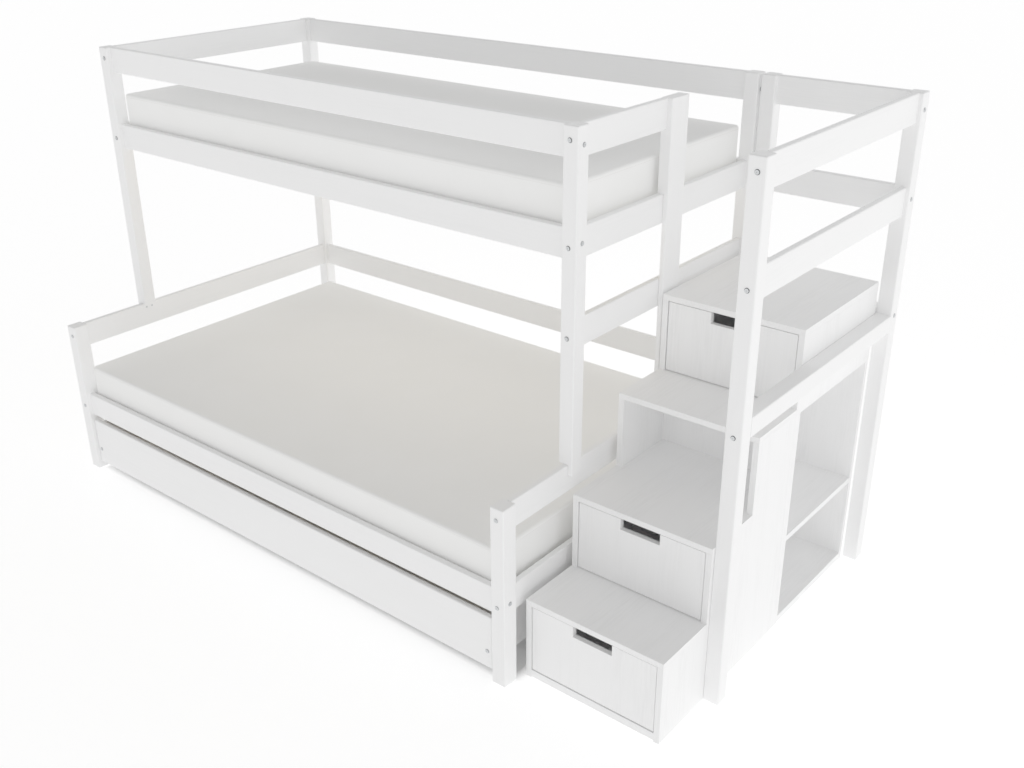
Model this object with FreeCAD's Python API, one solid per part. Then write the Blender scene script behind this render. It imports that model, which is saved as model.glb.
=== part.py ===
"""Bunk bed with a wider lower bunk, a trundle drawer and storage stairs, in millimetres.

The frame is square posts with flat rails bolted into them.  The mattresses fill their bunks,
about 1210 mm wide below and 905 mm above; both bunks share the two back posts.  The upper front
posts stand on the end guards of the lower bunk.  The stairs are a stepped cabinet with three
drawers, an open niche and a shelf compartment, inside a frame of three posts with handrails.

Working axes: X runs along the bed from its left end, Y from the front to the back, Z up.
Every solid is moved at the end so that the origin is under the middle of the whole object.
"""
import FreeCAD, Part
import math
import os

V = FreeCAD.Vector

# ------------------------------------------------------------------ bed frame
bed_length = 2098.0           # outer length of both bunks
bed_depth = 1286.0            # outer depth of the lower bunk
upper_depth = 980.0           # outer depth of the upper bunk, measured from the same back
bed_height = 1557.0           # top of the long posts
post_size = 48.0              # square section of the posts
low_post_depth = 55.0         # the two short front posts are deeper
board_thick = 20.0            # all rails and guards
board_height = 88.0
board_inset = 16.0            # outer face of a board behind the outer face of its post
edge_round = 4.0              # rounded edges of posts and boards

low_bed_top = 319.0           # top edge of the lower bed boards
low_guard_top = 592.0         # top of the low guards round the lower bunk and of their posts
middle_top = 1030.0           # top edge of the board half way up the right end
high_bed_top = 1286.0         # top edge of the upper bed boards

entry_start = 439.0           # from the front of the upper bunk to the entry post
entry_width = 90.0
lap_length = 30.0             # the upper front posts lap this far over the low guards

# ------------------------------------------------------------------ slats and mattresses
slat_drop = 42.0              # top of the slats below the top edge of the bed boards
slat_thick = 16.0
slat_width = 70.0
slat_count = 14
cleat_height = 30.0
cleat_width = 22.0
slat_play = 3.0               # free play at each end of a slat
end_play = 2.0                # free play at each end of a cleat
mattress_thick = 150.0
mattress_end_play = 1.0       # each end of a mattress to the posts
mattress_front_play = 1.5     # mattress behind the front board of its bunk
mattress_back_play = 1.5      # mattress in front of the back board
mattress_corner = 14.0        # plan radius of the corners
mattress_edge = 10.0          # rounding of the long edges
mattress_crown = 2.0          # middle of the top above its edges
mattress_lift = 0.3           # soft underside clear of the slats

# ------------------------------------------------------------------ trundle drawer
trundle_gap = 8.0             # each end of the front board to the posts
trundle_setback = 10.0        # front board behind the front of the posts
trundle_front_thick = 18.0
trundle_front_low = 34.0
trundle_front_high = 214.0
trundle_depth = 920.0
trundle_wall = 18.0
trundle_side_low = 43.0
trundle_side_high = 200.0
trundle_side_inset = 8.0      # side boards in from the ends of the front board
trundle_base_low = 56.0
trundle_base_thick = 12.0
trundle_travel = 750.0

wheel_radius = 25.0
wheel_width = 18.0
wheel_round = 3.0
axle_radius = 4.0
axle_fit = 0.05               # radial clearance of a wheel on its axle
castor_plate = 2.5
castor_cheek = 2.0
castor_side_gap = 0.6         # wheel to cheek
castor_length = 44.0
castor_end_offset = 150.0     # castor centre in from the side boards
castor_front_offset = 110.0   # castor centre in from the front and back boards

# ------------------------------------------------------------------ storage stairs
stair_gap = 10.0              # bed end to cabinet
stair_post_gap = 10.0         # bed end to the back left stair post
cabinet_width = 454.0
cabinet_back = 60.0           # back of the cabinet in front of the back of the bed
stair_post_front = 315.0      # front face of the front stair post
handrail_inset = 12.0         # outer face of the right handrails behind that of their posts
panel = 18.0                  # cabinet boards
first_step = 268.0            # top of the lowest tread
rise = 241.5
step_front = 86.0             # front of the lowest step
going = 216.0                 # tread depth
floor_lift = 4.0              # cabinet floor board above the ground
floor_board_thick = 24.0      # the cabinet floor board is thicker than the others
niche_depth = 226.0           # from the front of the third step to the partition
shelf_top = 320.0
stair_bar_height = 58.0
stair_bar_top = 889.0         # bar at the right-hand side
stair_bar_back_top = 906.0    # bar at the back
panel_ease = 1.0              # softened edges of the cabinet boards

drawer_gap = 3.0              # shadow gap round a drawer front
drawer_recess = 2.0           # drawer front behind the cabinet edge
drawer_front_thick = 16.0
drawer_wall = 12.0
drawer_wall_height = 150.0
drawer_side_play = 3.0
drawer_run = 0.5              # running clearance under the drawer sides
drawer_bottom_thick = 6.0
drawer_bottom_up = 8.0
drawer_back_play = 30.0       # free space behind a closed drawer
grip_width = 130.0
grip_depth = 34.0

# ------------------------------------------------------------------ fasteners
bolt_radius = 3.0
bolt_clearance = 0.2
bolt_reach = 42.0             # bolt length inside the end of a board
bolt_head_radius = 5.5
bolt_head_height = 2.5
bolt_socket = 4.0             # across the flats of the hexagon socket
bolt_socket_depth = 1.6
trundle_bolt_reach = 40.0     # bolt length inside a trundle side board
trundle_bolt_up = 49.0        # trundle bolts above the lower edge of its side boards
bolt_stagger = 6.0            # bolts of crossing boards pass above and below each other
bar_bolt_drop = 17.0          # bolts of the right-hand bar below its middle
nut_radius = 5.0
nut_length = 14.0
nut_clearance = 0.1
nut_back = 10.0               # centre of the barrel nut behind the bolt's tip
screw_radius = 2.0
screw_head_radius = 4.0
screw_head_depth = 2.5
screw_short = 5.0             # screw tip short of the far face
link_radius = 10.0            # spacer between the bed post and the stair post
link_pin = 5.0

# ------------------------------------------------------------------ worked-out places
upper_front = bed_depth - upper_depth
inner_end = board_inset + board_thick
entry_low = upper_front + entry_start
entry_high = entry_low + entry_width
cabinet_left = bed_length + stair_gap
cabinet_right = cabinet_left + cabinet_width
total_length = cabinet_right + post_size
cabinet_rear = bed_depth - cabinet_back
back_post_face = bed_depth - post_size
step_fronts = [step_front + going * index for index in range(4)]
step_tops = [first_step + rise * index for index in range(4)]
partition_front = step_fronts[2] + niche_depth
shelf_front = partition_front + panel
floor_top = floor_lift + floor_board_thick


# ------------------------------------------------------------------ small helpers
def block(x0, x1, y0, y1, z0, z1):
    """A box between two corners."""
    return Part.makeBox(x1 - x0, y1 - y0, z1 - z0, V(x0, y0, z0))


def edges_along(solid, axis):
    """The straight edges of a solid that run along one axis."""
    found = []
    for edge in solid.Edges:
        run = edge.Vertexes[-1].Point - edge.Vertexes[0].Point
        if run.Length > 0 and abs(run.normalize().dot(axis)) > 0.999:
            found.append(edge)
    return found


def eased(solid, axis, radius):
    """A box with its long edges rounded."""
    return solid.makeFillet(radius, edges_along(solid, axis))


def eased_all(solid, radius):
    """A box with every edge rounded."""
    return solid.makeFillet(radius, solid.Edges)


def along(start, direction, radius, length):
    """A round bar from a point, in a direction."""
    return Part.makeCylinder(radius, length, start, direction)


def save(name, solids):
    """Writes one named sub-part, moved to the object's own origin."""
    shape = solids[0] if len(solids) == 1 else Part.makeCompound(solids)
    moved = shape.copy()
    moved.translate(V(-total_length / 2.0, -bed_depth / 2.0, 0.0))
    moved.exportStep("parts/" + name + ".step")


# ------------------------------------------------------------------ bolts, nuts and screws
def socket_shape():
    """The hexagon recess of a bolt head, along Z from the origin."""
    corner = bolt_socket / math.sqrt(3.0)
    angles = [math.radians(60.0 * step) for step in range(7)]
    outline = Part.makePolygon([V(corner * math.cos(a), corner * math.sin(a), 0) for a in angles])
    return Part.Face(outline).extrude(V(0, 0, bolt_socket_depth))


class Fasteners:
    """The bolts, nuts and screws of one assembly, and the holes they need."""

    def __init__(self):
        self.solids = []
        self.holes = []

    def bolt(self, face_point, direction, through, reach, nut_axis):
        """A bolt from a face, through one piece, into a barrel nut in the end of the next."""
        length = through + reach
        outside = face_point - direction * bolt_head_height
        shank = along(face_point, direction, bolt_radius, length)
        head = along(outside, direction, bolt_head_radius, bolt_head_height)
        recess = socket_shape()
        recess.Placement = FreeCAD.Placement(outside, FreeCAD.Rotation(V(0, 0, 1), direction))
        self.solids.append(head.fuse(shank).removeSplitter().cut(recess))
        self.holes.append(along(face_point - direction, direction,
                                bolt_radius + bolt_clearance, length + 2.0))
        nut_start = face_point + direction * (length - nut_back) - nut_axis * (nut_length / 2.0)
        bore = along(face_point, direction, bolt_radius + nut_clearance, length + nut_back)
        self.solids.append(along(nut_start, nut_axis, nut_radius, nut_length).cut(bore))
        self.holes.append(along(nut_start - nut_axis * nut_clearance, nut_axis,
                                nut_radius + nut_clearance, nut_length + 2.0 * nut_clearance))

    def screw(self, face_point, direction, length):
        """A countersunk wood screw, its head flush with the face."""
        head = Part.makeCone(screw_head_radius, screw_radius, screw_head_depth,
                             face_point, direction)
        shank = along(face_point, direction, screw_radius, length)
        self.solids.append(head.fuse(shank).removeSplitter())
        self.holes.append(self.solids[-1])

    def pin(self, start, direction, length, collar_start, collar_length):
        """A plain pin with a spacer collar round part of it."""
        collar = along(collar_start, direction, link_radius, collar_length)
        self.solids.append(along(start, direction, link_pin, length).fuse(collar))
        self.holes.append(along(start - direction * bolt_clearance, direction,
                                link_pin + bolt_clearance, length + 2.0 * bolt_clearance))

    def drilled(self, solid):
        """The solid with every hole that meets it."""
        for hole in self.holes:
            if solid.BoundBox.intersect(hole.BoundBox):
                solid = solid.cut(hole)
        return solid


frame_fasteners = Fasteners()
trundle_fasteners = Fasteners()


# ------------------------------------------------------------------ boards between posts
def bolt_lift(top):
    """How far the front-to-back bolts of a level sit above the middle of its boards.

    The bolts along the bed sit as far the other way.
    """
    if top in (low_guard_top, bed_height):
        return bolt_stagger
    return -bolt_stagger


def board_x(x0, x1, outer, inward, top):
    """A board along X: outer face at Y = outer, thickness towards inward, its two bolts."""
    y0, y1 = sorted((outer, outer + inward * board_thick))
    solid = eased(block(x0, x1, y0, y1, top - board_height, top), V(1, 0, 0), edge_round)
    middle = V(0, (y0 + y1) / 2.0, top - board_height / 2.0 - bolt_lift(top))
    frame_fasteners.bolt(V(x0 - post_size, 0, 0) + middle, V(1, 0, 0),
                         post_size, bolt_reach, V(0, 1, 0))
    frame_fasteners.bolt(V(x1 + post_size, 0, 0) + middle, V(-1, 0, 0),
                         post_size, bolt_reach, V(0, 1, 0))
    return solid


def board_y(y0, y1, outer, inward, top, front_depth, back_depth):
    """A board along Y: outer face at X = outer, with bolts through what stands at each end."""
    x0, x1 = sorted((outer, outer + inward * board_thick))
    solid = eased(block(x0, x1, y0, y1, top - board_height, top), V(0, 1, 0), edge_round)
    middle = V((x0 + x1) / 2.0, 0, top - board_height / 2.0 + bolt_lift(top))
    frame_fasteners.bolt(V(0, y0 - front_depth, 0) + middle, V(0, 1, 0),
                         front_depth, bolt_reach, V(1, 0, 0))
    frame_fasteners.bolt(V(0, y1 + back_depth, 0) + middle, V(0, -1, 0),
                         back_depth, bolt_reach, V(1, 0, 0))
    return solid


def make_bed_boards():
    """All boards of the bed, by name."""
    left_outer = board_inset
    right_outer = bed_length - board_inset
    back_outer = bed_depth - board_inset
    front_outer = upper_front + board_inset
    x0 = post_size
    x1 = bed_length - post_size
    low_y0 = low_post_depth
    high_y0 = upper_front + post_size
    boards = {
        "lower_rail_front": board_x(x0, x1, board_inset, 1, low_bed_top),
        "lower_rail_back": board_x(x0, x1, back_outer, -1, low_bed_top),
        "lower_guard_back": board_x(x0, x1, back_outer, -1, low_guard_top),
        "upper_rail_front": board_x(x0, x1, front_outer, 1, high_bed_top),
        "upper_rail_back": board_x(x0, x1, back_outer, -1, high_bed_top),
        "guard_front": board_x(x0, x1, front_outer, 1, bed_height),
        "guard_back": board_x(x0, x1, back_outer, -1, bed_height),
    }
    for side, outer, inward in (("left", left_outer, 1), ("right", right_outer, -1)):
        boards["lower_rail_" + side] = board_y(
            low_y0, back_post_face, outer, inward, low_bed_top, low_post_depth, post_size)
        boards["lower_guard_" + side] = board_y(
            low_y0, back_post_face, outer, inward, low_guard_top, low_post_depth, post_size)
        boards["upper_rail_" + side] = board_y(
            high_y0, back_post_face, outer, inward, high_bed_top, post_size, post_size)
    boards["guard_left"] = board_y(
        high_y0, back_post_face, left_outer, 1, bed_height, post_size, post_size)
    boards["guard_right"] = board_y(
        high_y0, entry_low, right_outer, -1, bed_height, post_size, entry_width)
    boards["middle_rail_right"] = board_y(
        high_y0, back_post_face, right_outer, -1, middle_top, post_size, post_size)
    return boards


# ------------------------------------------------------------------ posts of the bed
def make_bed_posts():
    """The posts of the bed, by name."""
    right = bed_length - post_size
    posts = {}
    for side, x0 in (("left", 0.0), ("right", right)):
        posts["lower_post_" + side] = eased_all(
            block(x0, x0 + post_size, 0, low_post_depth, 0, low_guard_top), edge_round)
        posts["back_post_" + side] = eased_all(
            block(x0, x0 + post_size, back_post_face, bed_depth, 0, bed_height), edge_round)
    for side, x0, lap0 in (("left", 0.0, 0.0), ("right", right, bed_length - board_inset)):
        leg = eased_all(block(x0, x0 + post_size, upper_front, upper_front + post_size,
                              low_guard_top, bed_height), edge_round)
        lap = block(lap0, lap0 + board_inset, upper_front, upper_front + post_size,
                    low_guard_top - lap_length, low_guard_top + post_size)
        lap = eased(lap, V(0, 0, 1), edge_round)
        posts["upper_post_" + side] = leg.fuse(lap).removeSplitter()
    outer = bed_length - board_inset
    face = block(outer, bed_length, entry_low, entry_high,
                 low_guard_top - board_height, bed_height)
    batten = block(outer - board_thick, outer, entry_low, entry_high, high_bed_top, bed_height)
    posts["entry_post"] = eased(face.fuse(batten).removeSplitter(), V(0, 0, 1), edge_round)
    return posts


def add_bed_screws():
    """Screws from inside: through the low guards into the laps, and into the entry post."""
    length = board_thick + board_inset - screw_short
    for x_face, direction in ((inner_end, -1), (bed_length - inner_end, 1)):
        for offset in (post_size * 0.25, post_size * 0.75):
            point = V(x_face, upper_front + offset, low_guard_top - lap_length / 2.0)
            frame_fasteners.screw(point, V(direction, 0, 0), length)
    for top in (low_guard_top, middle_top, high_bed_top):
        for offset in (entry_width * 0.25, entry_width * 0.75):
            point = V(bed_length - inner_end, entry_low + offset, top - board_height / 2.0)
            frame_fasteners.screw(point, V(1, 0, 0), length)


# ------------------------------------------------------------------ slats and mattresses
def make_cleats_and_slats(front_inner, bed_top):
    """Two cleats on the long boards and the slats across them, for one bunk."""
    back_inner = bed_depth - inner_end
    top = bed_top - slat_drop - slat_thick
    x0 = post_size + end_play
    x1 = bed_length - post_size - end_play
    cleats = []
    for y0 in (front_inner, back_inner - cleat_width):
        cleats.append(block(x0, x1, y0, y0 + cleat_width, top - cleat_height, top))
    slats = []
    pitch = (x1 - x0) / slat_count
    for index in range(slat_count):
        start = x0 + pitch * (index + 0.5) - slat_width / 2.0
        slat = block(start, start + slat_width, front_inner + slat_play,
                     back_inner - slat_play, top, top + slat_thick)
        slats.append(eased(slat, V(0, 1, 0), edge_round))
    return cleats, slats


def rounded_outline(x0, x1, y0, y1, radius, height):
    """A closed outline with round corners at one height."""
    corners = [(x1, y1, 0.0), (x0, y1, 90.0), (x0, y0, 180.0), (x1, y0, 270.0)]
    arcs = []
    for corner_x, corner_y, first in corners:
        centre_x = corner_x - radius if corner_x == x1 else corner_x + radius
        centre_y = corner_y - radius if corner_y == y1 else corner_y + radius
        points = []
        for turn in (0.0, 45.0, 90.0):
            angle = math.radians(first + turn)
            points.append(V(centre_x + radius * math.cos(angle),
                            centre_y + radius * math.sin(angle), height))
        arcs.append((points, Part.Arc(points[0], points[1], points[2]).toShape()))
    edges = []
    for index, (points, arc) in enumerate(arcs):
        edges.append(arc)
        following = arcs[(index + 1) % 4][0]
        edges.append(Part.LineSegment(points[2], following[0]).toShape())
    return Part.Wire(edges)


def make_mattress(front_inner, bed_top):
    """A foam mattress: rounded edges, sides drawn in between the seams, a low crown."""
    x0 = post_size + mattress_end_play
    x1 = bed_length - x0
    y0 = front_inner + mattress_front_play
    y1 = bed_depth - inner_end - mattress_back_play
    z0 = bed_top - slat_drop + mattress_lift
    shoulder = mattress_thick - mattress_crown
    profile = [
        (0.0, 0.8 * mattress_edge), (0.3 * mattress_edge, 0.25 * mattress_edge),
        (mattress_edge, 0.0), (mattress_thick / 2.0, 2.0), (shoulder - mattress_edge, 0.0),
        (shoulder - 0.3 * mattress_edge, 0.25 * mattress_edge),
        (shoulder, 0.8 * mattress_edge), (shoulder + 0.6 * mattress_crown, 60.0),
        (mattress_thick, 180.0),
    ]
    outlines = []
    for height, inset in profile:
        outlines.append(rounded_outline(
            x0 + inset, x1 - inset, y0 + inset, y1 - inset, mattress_corner, z0 + height))
    return Part.makeLoft(outlines, True, True)


# ------------------------------------------------------------------ trundle drawer
def make_trundle():
    """The boards of the trundle and its castors, by name."""
    x0 = post_size + trundle_gap
    x1 = bed_length - post_size - trundle_gap
    front_back = trundle_setback + trundle_front_thick
    rear = trundle_setback + trundle_depth
    side0 = x0 + trundle_side_inset
    side1 = x1 - trundle_side_inset
    low = trundle_side_low
    high = trundle_side_high
    base_top = trundle_base_low + trundle_base_thick
    level = low + trundle_bolt_up
    for x in (side0 + trundle_wall / 2.0, side1 - trundle_wall / 2.0):
        trundle_fasteners.bolt(V(x, trundle_setback, level), V(0, 1, 0),
                               trundle_front_thick, trundle_bolt_reach, V(1, 0, 0))
    parts = {
        "trundle_front": [eased_all(block(x0, x1, trundle_setback, front_back,
                                          trundle_front_low, trundle_front_high), edge_round)],
        "trundle_side_left": [block(side0, side0 + trundle_wall, front_back, rear, low, high)],
        "trundle_side_right": [block(side1 - trundle_wall, side1, front_back, rear, low, high)],
        "trundle_back": [block(side0 + trundle_wall, side1 - trundle_wall,
                               rear - trundle_wall, rear, low, high)],
        "trundle_base": [block(side0 + trundle_wall, side1 - trundle_wall, front_back,
                               rear - trundle_wall, trundle_base_low, base_top)],
    }
    brackets = []
    centres = castor_centres(side0, side1, front_back, rear)
    for name, x, y in centres:
        brackets.extend(make_castor(x, y))
        parts["trundle_wheel_" + name] = [make_wheel(x, y)]
    for name in ("trundle_front", "trundle_side_left", "trundle_side_right"):
        parts[name] = [trundle_fasteners.drilled(solid) for solid in parts[name]]
    parts["castor_brackets"] = brackets
    parts["trundle_bolts"] = trundle_fasteners.solids
    return parts


def castor_centres(side0, side1, front_back, rear):
    """Name and plan position of each castor."""
    centres = []
    for side, x in (("left", side0 + castor_end_offset), ("right", side1 - castor_end_offset)):
        for end, y in (("front", front_back + castor_front_offset),
                       ("back", rear - castor_front_offset)):
            centres.append((end + "_" + side, x, y))
    return centres


def make_castor(x, y):
    """One fixed castor: a plate with two cheeks, and its axle."""
    reach = wheel_width / 2.0 + castor_side_gap
    top = trundle_base_low
    half = castor_length / 2.0
    plate = block(x - reach - castor_cheek, x + reach + castor_cheek,
                  y - half, y + half, top - castor_plate, top)
    low = wheel_radius - axle_radius * 2.5
    housing = plate
    for x0 in (x - reach - castor_cheek, x + reach):
        cheek = block(x0, x0 + castor_cheek, y - half / 2.0, y + half / 2.0,
                      low, top - castor_plate)
        housing = housing.fuse(cheek)
    axle_start = V(x - reach - castor_cheek, y, wheel_radius)
    axle_length = 2.0 * (reach + castor_cheek)
    axle = along(axle_start, V(1, 0, 0), axle_radius, axle_length)
    return [housing.removeSplitter().cut(axle), axle]


def make_wheel(x, y):
    """One wheel with a bore, dished on both faces."""
    start = V(x - wheel_width / 2.0, y, wheel_radius)
    wheel = along(start, V(1, 0, 0), wheel_radius, wheel_width)
    wheel = wheel.makeFillet(wheel_round, wheel.Edges)
    dish = wheel_width * 0.15
    hub = wheel_radius * 0.35
    for dish_start in (start, start + V(wheel_width - dish, 0, 0)):
        ring = along(dish_start, V(1, 0, 0), wheel_radius * 0.72, dish)
        wheel = wheel.cut(ring.cut(along(dish_start, V(1, 0, 0), hub, dish)))
    return wheel.cut(along(start, V(1, 0, 0), axle_radius + axle_fit, wheel_width))


# ------------------------------------------------------------------ stair frame
def make_stair_frame():
    """Posts, handrails and cross bars of the stairs, by name."""
    post_x = cabinet_right
    outer_x = total_length - handrail_inset
    outer_y = bed_depth - board_inset
    y0 = stair_post_front + post_size
    bar_low = stair_bar_top - stair_bar_height
    back_bar_low = stair_bar_back_top - stair_bar_height
    back_left = bed_length + stair_post_gap
    frame = {
        "stair_post_front": [eased_all(block(post_x, total_length, stair_post_front, y0,
                                             0, bed_height), edge_round)],
        "stair_post_back_right": [eased_all(block(post_x, total_length, back_post_face,
                                                  bed_depth, 0, bed_height), edge_round)],
        "stair_post_back_left": [eased_all(block(back_left, back_left + post_size,
                                                 back_post_face, bed_depth,
                                                 0, bed_height), edge_round)],
        "stair_handrails_right": [board_y(y0, back_post_face, outer_x, -1, top,
                                          post_size, post_size)
                                  for top in (bed_height, high_bed_top)],
        "stair_handrails_back": [board_x(back_left + post_size, post_x, outer_y, -1, top)
                                 for top in (bed_height, high_bed_top)],
        "stair_bar_right": [eased(block(post_x, total_length, y0, back_post_face,
                                        bar_low, stair_bar_top), V(0, 1, 0), edge_round)],
        "stair_bar_back": [eased(block(back_left + post_size, post_x, back_post_face, bed_depth,
                                       back_bar_low, stair_bar_back_top),
                                 V(1, 0, 0), edge_round)],
    }
    middle = post_size / 2.0
    right = V(post_x + middle, 0, bar_low + stair_bar_height / 2.0 - bar_bolt_drop)
    frame_fasteners.bolt(V(0, stair_post_front, 0) + right, V(0, 1, 0),
                         post_size, bolt_reach, V(1, 0, 0))
    frame_fasteners.bolt(V(0, bed_depth, 0) + right, V(0, -1, 0),
                         post_size, bolt_reach, V(1, 0, 0))
    back = V(0, back_post_face + middle, back_bar_low + stair_bar_height / 2.0 + bolt_stagger)
    frame_fasteners.bolt(V(total_length, 0, 0) + back, V(-1, 0, 0),
                         post_size, bolt_reach, V(0, 1, 0))
    frame_fasteners.bolt(V(back_left, 0, 0) + back, V(1, 0, 0),
                         post_size, bolt_reach, V(0, 1, 0))
    return frame


def add_links():
    """Pins with collars that tie the back left stair post to the back post of the bed."""
    for level in (low_bed_top, low_guard_top + board_height):
        centre = V(bed_length, bed_depth - post_size / 2.0, level)
        frame_fasteners.pin(centre - V(post_size / 2.0, 0, 0), V(1, 0, 0),
                            post_size + stair_post_gap, centre, stair_post_gap)


# ------------------------------------------------------------------ stair cabinet
def profile_board(points, x0):
    """A cabinet side: a stepped outline in the YZ plane, one board thick."""
    wire = Part.makePolygon([V(x0, y, z) for y, z in points + points[:1]])
    return Part.Face(wire).extrude(V(panel, 0, 0))


def stepped_top(end):
    """The stepped upper edge of a cabinet side, just under the treads, from front to end."""
    points = []
    for index in range(4):
        under = step_tops[index] - panel
        following = step_fronts[index + 1] if index < 3 else end
        points.append((step_fronts[index], under))
        points.append((following, under))
    return points


def make_tread(index, inner_end_y):
    """A tread: full width where it is stepped on, and between the sides behind that."""
    top = step_tops[index]
    front = step_fronts[index]
    following = step_fronts[index + 1]
    tread = block(cabinet_left, cabinet_right, front, following, top - panel, top)
    tread = tread.makeFillet(panel_ease, [edge for edge in edges_along(tread, V(1, 0, 0))
                                          if edge.CenterOfMass.y < front + 1.0])
    shelf = block(cabinet_left + panel, cabinet_right - panel, following, inner_end_y,
                  top - panel, top)
    return tread.fuse(shelf).removeSplitter()


def make_cabinet():
    """The fixed boards of the stair cabinet, by name."""
    inner0 = cabinet_left + panel
    inner1 = cabinet_right - panel
    back_inner = cabinet_rear - panel
    upper_floor = step_tops[2] - panel
    left_side = [(step_fronts[0], 0.0)] + stepped_top(back_inner) + [(back_inner, 0.0)]
    right_side = ([(step_fronts[0], 0.0)] + stepped_top(back_inner)
                  + [(back_inner, upper_floor), (shelf_front, upper_floor), (shelf_front, 0.0)])
    floor_board = block(inner0, inner1, step_fronts[0], shelf_front, floor_lift, floor_top)
    floor_rear = block(inner0, cabinet_right, shelf_front, back_inner, floor_lift, floor_top)
    top = block(cabinet_left, cabinet_right, step_fronts[3], cabinet_rear,
                step_tops[3] - panel, step_tops[3])
    return {
        "stair_side_left": [profile_board(left_side, cabinet_left)],
        "stair_side_right": [profile_board(right_side, inner1)],
        "stair_tread_1": [make_tread(0, partition_front)],
        "stair_tread_2": [make_tread(1, partition_front)],
        "stair_tread_3": [make_tread(2, back_inner)],
        "stair_tread_4": [top.makeFillet(panel_ease, edges_along(top, V(0, 1, 0))
                                         + edges_along(top, V(1, 0, 0)))],
        "stair_floor": [floor_board.fuse(floor_rear).removeSplitter()],
        "stair_back": [block(cabinet_left, cabinet_right, back_inner, cabinet_rear,
                             0.0, step_tops[3] - panel)],
        "stair_partition": [block(inner0, inner1, partition_front, shelf_front,
                                  floor_top, upper_floor)],
        "stair_shelf": [block(inner0, cabinet_right, shelf_front, back_inner,
                              shelf_top - panel, shelf_top)],
    }


def make_drawer(front_y, floor_z, ceiling_z, rear_y):
    """A drawer: front with a grip notch in its top edge, two sides, back and bottom."""
    x0 = cabinet_left + panel
    x1 = cabinet_right - panel
    middle = (x0 + x1) / 2.0
    y0 = front_y + drawer_recess
    y1 = y0 + drawer_front_thick
    front = block(x0 + drawer_gap, x1 - drawer_gap, y0, y1,
                  floor_z + drawer_gap, ceiling_z - drawer_gap)
    front = eased_all(front, panel_ease)
    grip = block(middle - grip_width / 2.0, middle + grip_width / 2.0, y0, y1,
                 ceiling_z - drawer_gap - grip_depth, ceiling_z)
    front = front.cut(grip)
    side0 = x0 + drawer_side_play
    side1 = x1 - drawer_side_play
    rear = rear_y - drawer_back_play
    low = floor_z + drawer_run
    high = low + drawer_wall_height
    left = block(side0, side0 + drawer_wall, y1, rear, low, high)
    right = block(side1 - drawer_wall, side1, y1, rear, low, high)
    back = block(side0 + drawer_wall, side1 - drawer_wall, rear - drawer_wall, rear, low, high)
    bottom_low = low + drawer_bottom_up
    bottom = block(side0 + drawer_wall, side1 - drawer_wall, y1, rear - drawer_wall,
                   bottom_low, bottom_low + drawer_bottom_thick)
    return [front, left, right, back, bottom]


def make_drawers():
    """The three drawers, by name."""
    back_inner = cabinet_rear - panel
    return {
        "drawer_low": make_drawer(step_fronts[0], floor_top, step_tops[0] - panel,
                                  partition_front),
        "drawer_middle": make_drawer(step_fronts[1], step_tops[0], step_tops[1] - panel,
                                     partition_front),
        "drawer_high": make_drawer(step_fronts[3], step_tops[2], step_tops[3] - panel,
                                   back_inner),
    }


# ------------------------------------------------------------------ build and write
def main():
    """Makes every sub-part and writes each to its own file."""
    os.makedirs("parts", exist_ok=True)
    boards = make_bed_boards()
    posts = make_bed_posts()
    add_bed_screws()
    frame = make_stair_frame()
    add_links()
    for name, solid in list(boards.items()) + list(posts.items()):
        save(name, [frame_fasteners.drilled(solid)])
    for name, solids in frame.items():
        save(name, [frame_fasteners.drilled(solid) for solid in solids])
    save("frame_bolts", frame_fasteners.solids)

    low_inner = inner_end
    high_inner = upper_front + inner_end
    low_cleats, low_slats = make_cleats_and_slats(low_inner, low_bed_top)
    high_cleats, high_slats = make_cleats_and_slats(high_inner, high_bed_top)
    save("slat_cleats", low_cleats + high_cleats)
    save("lower_slats", low_slats)
    save("upper_slats", high_slats)
    save("lower_mattress", [make_mattress(low_inner, low_bed_top)])
    save("upper_mattress", [make_mattress(high_inner, high_bed_top)])

    for group in (make_trundle(), make_cabinet(), make_drawers()):
        for name, solids in group.items():
            save(name, solids)


main()
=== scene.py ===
"""Looks of a white bunk bed with a trundle and storage stairs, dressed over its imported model.

Every size is in metres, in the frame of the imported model: X along the bed towards the stairs,
Y from the open front to the back, Z up from the floor.
"""
from __future__ import annotations

import logging
import math
from dataclasses import dataclass
from enum import Enum
from typing import Any, Iterable, Sequence

import bmesh
import bpy
from mathutils import Matrix, Vector


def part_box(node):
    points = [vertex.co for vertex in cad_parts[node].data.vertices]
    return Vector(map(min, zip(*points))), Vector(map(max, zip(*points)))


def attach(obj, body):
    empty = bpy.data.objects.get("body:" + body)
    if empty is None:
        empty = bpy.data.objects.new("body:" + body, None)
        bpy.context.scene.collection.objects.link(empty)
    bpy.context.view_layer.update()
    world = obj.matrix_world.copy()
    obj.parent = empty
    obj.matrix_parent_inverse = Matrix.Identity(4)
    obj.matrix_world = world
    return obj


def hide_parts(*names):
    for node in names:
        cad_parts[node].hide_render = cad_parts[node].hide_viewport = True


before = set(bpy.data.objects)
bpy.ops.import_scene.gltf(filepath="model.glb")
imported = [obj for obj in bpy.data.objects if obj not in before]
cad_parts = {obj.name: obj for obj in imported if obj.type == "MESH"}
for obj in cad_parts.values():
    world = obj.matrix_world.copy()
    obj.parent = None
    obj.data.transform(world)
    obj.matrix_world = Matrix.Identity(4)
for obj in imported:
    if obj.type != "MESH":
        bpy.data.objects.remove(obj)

log = logging.getLogger("bunk_bed")
MM = 0.001
TINY = 1e-9
Span = tuple[float, float]
Point = tuple[float, float, float]
Colour = tuple[float, float, float, float]


class Axis(Enum):
    """The direction in which the grain of a board runs."""

    X = 0
    Y = 1
    Z = 2


# ---------------------------------------------------------------------------- small tools


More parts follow.
